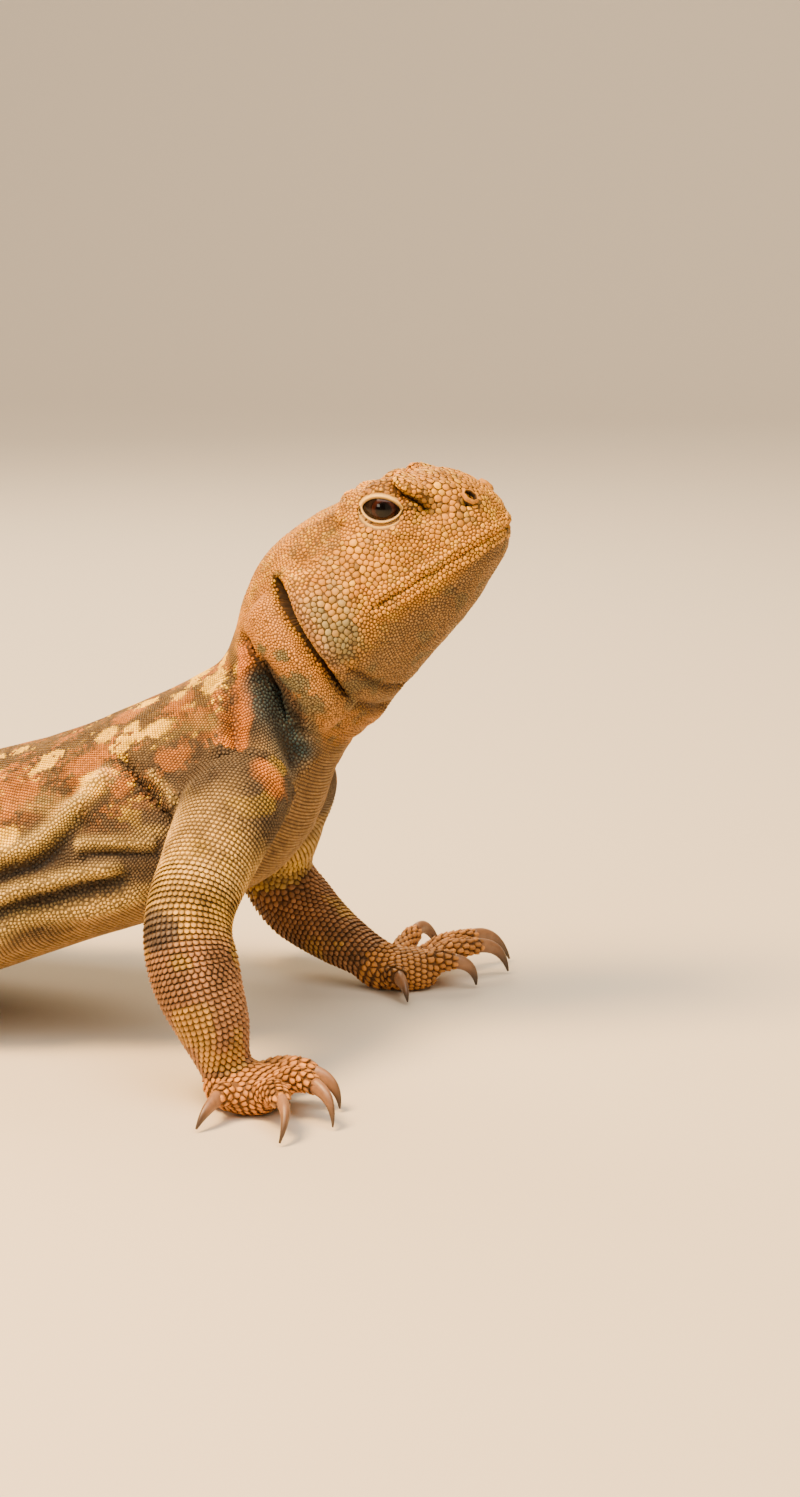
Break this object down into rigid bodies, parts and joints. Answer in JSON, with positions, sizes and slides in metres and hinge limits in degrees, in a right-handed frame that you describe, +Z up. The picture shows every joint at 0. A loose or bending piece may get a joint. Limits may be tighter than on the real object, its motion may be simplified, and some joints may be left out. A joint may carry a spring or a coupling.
{
  "type": "ornate uromastyx",
  "caption": "Life-size model of a spiny-tailed desert lizard standing with its head raised, its legs spread and its tail resting on the floor.",
  "frame": {"origin": "on the floor, at the bottom centre of the model's box", "axes": "+X towards the snout, +Y to the animal's left, +Z up"},
  "size_m": [0.2988, 0.1672, 0.0941],
  "materials": {
    "skin_head": "satin",
    "skin_back": "satin",
    "skin_leg": "satin",
    "skin_tail": "satin",
    "claw_horn": "satin",
    "eye": "gloss"
  },
  "bodies": {
    "root": {"head": "skin_head", "neck": "skin_head", "torso_front": "skin_back", "torso_rear": "skin_back", "tail_1": "skin_tail", "tail_2": "skin_tail", "tail_3": "skin_tail", "tail_4": "skin_tail", "eye_right": "eye", "eye_left": "eye", "upper_arm_right": "skin_leg", "forearm_right": "skin_leg", "hand_right": "skin_leg", "upper_arm_left": "skin_leg", "forearm_left": "skin_leg", "hand_left": "skin_leg", "thigh_right": "skin_leg", "shank_right": "skin_leg", "foot_right": "skin_leg", "thigh_left": "skin_leg", "shank_left": "skin_leg", "foot_left": "skin_leg", "claw_hand_right_1": "claw_horn", "claw_hand_right_2": "claw_horn", "claw_hand_right_3": "claw_horn", "claw_hand_right_4": "claw_horn", "claw_hand_right_5": "claw_horn", "claw_hand_left_1": "claw_horn", "claw_hand_left_2": "claw_horn", "claw_hand_left_3": "claw_horn", "claw_hand_left_4": "claw_horn", "claw_hand_left_5": "claw_horn", "claw_foot_right_1": "claw_horn", "claw_foot_right_2": "claw_horn", "claw_foot_right_3": "claw_horn", "claw_foot_right_4": "claw_horn", "claw_foot_right_5": "claw_horn", "claw_foot_left_1": "claw_horn", "claw_foot_left_2": "claw_horn", "claw_foot_left_3": "claw_horn", "claw_foot_left_4": "claw_horn", "claw_foot_left_5": "claw_horn"}
  },
  "joints": []
}
